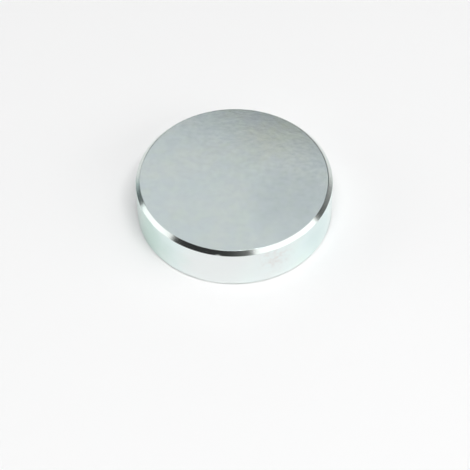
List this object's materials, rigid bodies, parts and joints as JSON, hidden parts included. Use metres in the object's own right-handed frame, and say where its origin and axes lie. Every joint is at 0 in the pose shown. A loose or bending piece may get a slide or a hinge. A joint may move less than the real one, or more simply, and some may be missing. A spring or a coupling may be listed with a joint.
{
  "type": "pot magnet",
  "caption": "Shallow round pot magnet: a plated steel pot, closed and chamfered at the back, with a magnet disc bonded into its open side to pull onto flat iron.",
  "frame": {"origin": "centre of the open rim, in the plane that pulls onto iron", "axes": "+Z along the pot's axis, from the open rim towards the closed back; X and Y lie in the rim's plane"},
  "size_m": [0.048, 0.048, 0.0115],
  "materials": {
    "zinc_plating": "satin",
    "nickel_plating": "bright",
    "cast_resin": "semi-gloss"
  },
  "bodies": {
    "root": {"steel_pot": "zinc_plating", "magnet_disc": "nickel_plating", "resin_casting": "cast_resin"}
  },
  "joints": []
}
